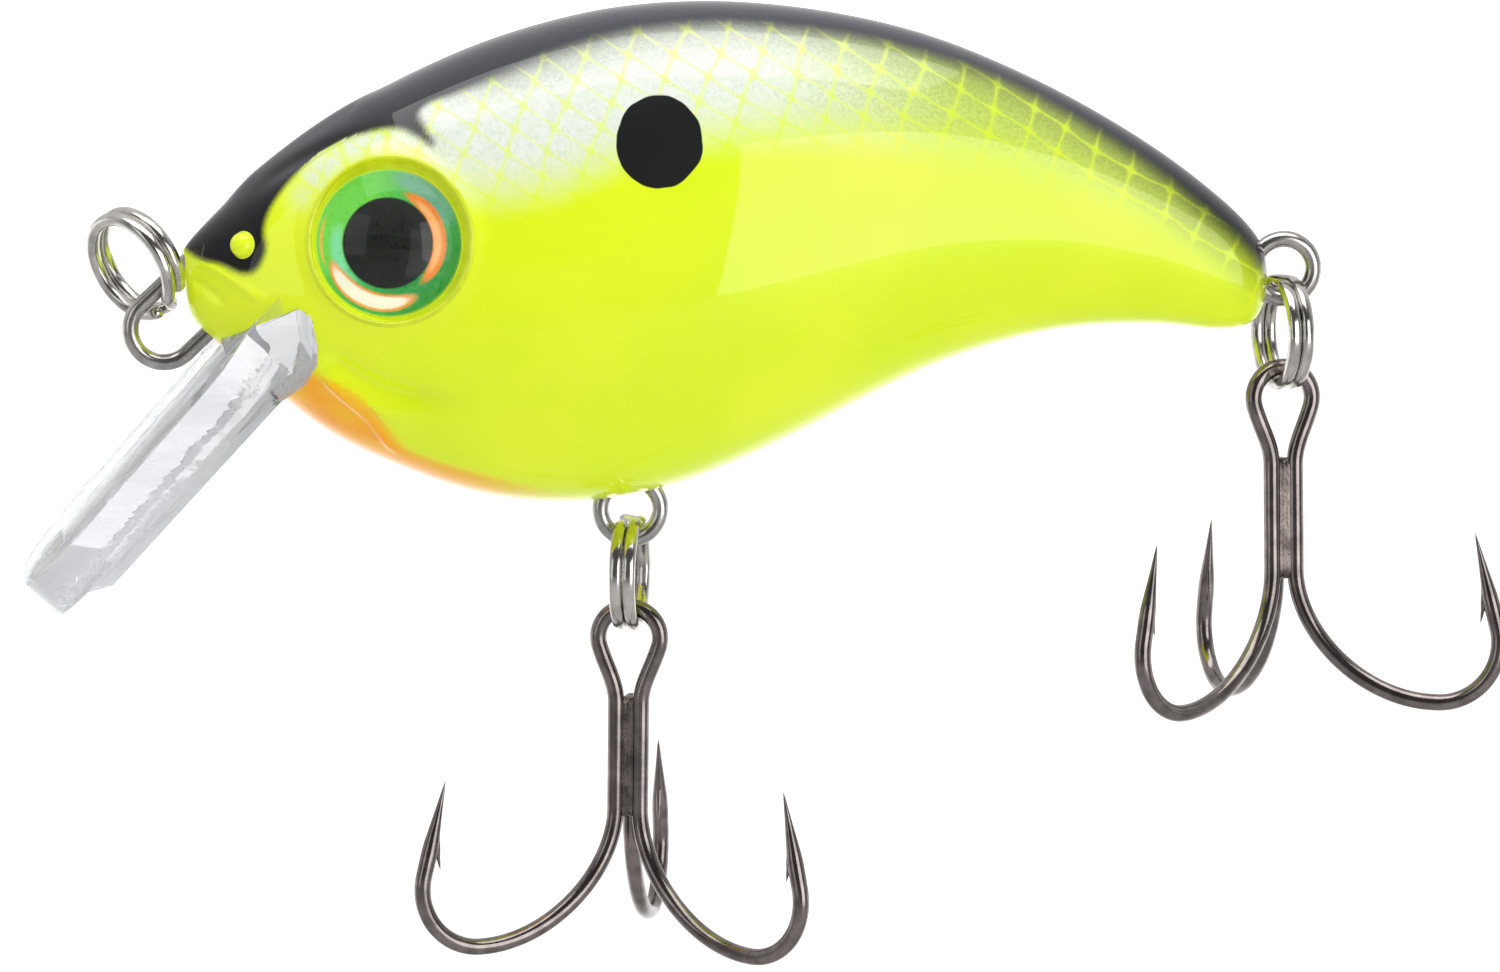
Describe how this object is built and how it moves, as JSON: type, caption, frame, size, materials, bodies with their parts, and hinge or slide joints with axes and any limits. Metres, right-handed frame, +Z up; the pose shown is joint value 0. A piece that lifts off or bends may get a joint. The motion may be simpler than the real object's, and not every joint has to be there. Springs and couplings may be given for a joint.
{
  "type": "crankbait lure",
  "caption": "Short round-bodied crankbait lure with a clear square diving lip, domed eyes, wire hangers, split rings and swinging treble hooks.",
  "frame": {"origin": "centre of the line-tie wire eye in front of the nose", "axes": "+X towards the tail, +Y towards the lure's right side, +Z up, with the lure hanging level"},
  "size_m": [0.0822, 0.0223, 0.0529],
  "materials": {
    "body_plastic": "glossy clear-coated paint on moulded plastic",
    "clear_plastic": "clear moulded polycarbonate",
    "wire": "bright stainless wire",
    "eye_foil": "printed holographic foil",
    "eye_clear": "clear resin dome",
    "ballast_metal": "plain metal slug",
    "ball_steel": "polished steel",
    "ring_nickel": "bright nickel plate",
    "hook_black_nickel": "dark nickel plate",
    "hook_braze": "dark nickel plate over brazing metal"
  },
  "bodies": {
    "body": {"left_body_shell": "body_plastic", "right_body_shell": "body_plastic", "diving_lip": "clear_plastic", "line_tie_wire": "wire", "belly_hook_hanger": "wire", "tail_hook_hanger": "wire", "left_eye_foil": "eye_foil", "left_eye_dome": "eye_clear", "right_eye_foil": "eye_foil", "right_eye_dome": "eye_clear", "belly_ballast": "ballast_metal"},
    "nose_ring": {"nose_split_ring": "ring_nickel"},
    "belly_ring": {"belly_split_ring": "ring_nickel"},
    "tail_ring": {"tail_split_ring": "ring_nickel"},
    "belly_treble": {"belly_treble_double_hook": "hook_black_nickel", "belly_treble_single_hook": "hook_black_nickel", "belly_treble_braze": "hook_braze"},
    "tail_treble": {"tail_treble_double_hook": "hook_black_nickel", "tail_treble_single_hook": "hook_black_nickel", "tail_treble_braze": "hook_braze"},
    "knocker": {"knocker_ball": "ball_steel"},
    "rattles": {"rattle_balls": "ball_steel"}
  },
  "joints": [
    {"name": "nose_ring_swing", "type": "hinge", "parent": "body", "child": "nose_ring", "pos_m": [0.00065, 0, 0.00118], "axis": [0, -1, 0], "range_deg": [0, 110]},
    {"name": "belly_ring_swing", "type": "hinge", "parent": "body", "child": "belly_ring", "pos_m": [0.02585, 0, -0.01004], "axis": [0, 1, 0], "range_deg": [-75, 55]},
    {"name": "belly_treble_swing", "type": "hinge", "parent": "belly_ring", "child": "belly_treble", "pos_m": [0.02585, 0, -0.01361], "axis": [0.9744, -0.225, 0], "range_deg": [-75, 75]},
    {"name": "tail_ring_swing", "type": "hinge", "parent": "body", "child": "tail_ring", "pos_m": [0.06217, 0, 0.0034], "axis": [0, 1, 0], "range_deg": [-75, 10]},
    {"name": "tail_treble_swing", "type": "hinge", "parent": "tail_ring", "child": "tail_treble", "pos_m": [0.06217, 0, -0.00017], "axis": [0.9744, 0.225, 0], "range_deg": [-71, 79]},
    {"name": "knocker_roll", "type": "slide", "parent": "body", "child": "knocker", "axis": [1, 0, 0], "range_m": [-0.003, 0.003]},
    {"name": "rattle_roll", "type": "slide", "parent": "body", "child": "rattles", "axis": [1, 0, 0], "range_m": [-0.0025, 0.0025]}
  ]
}
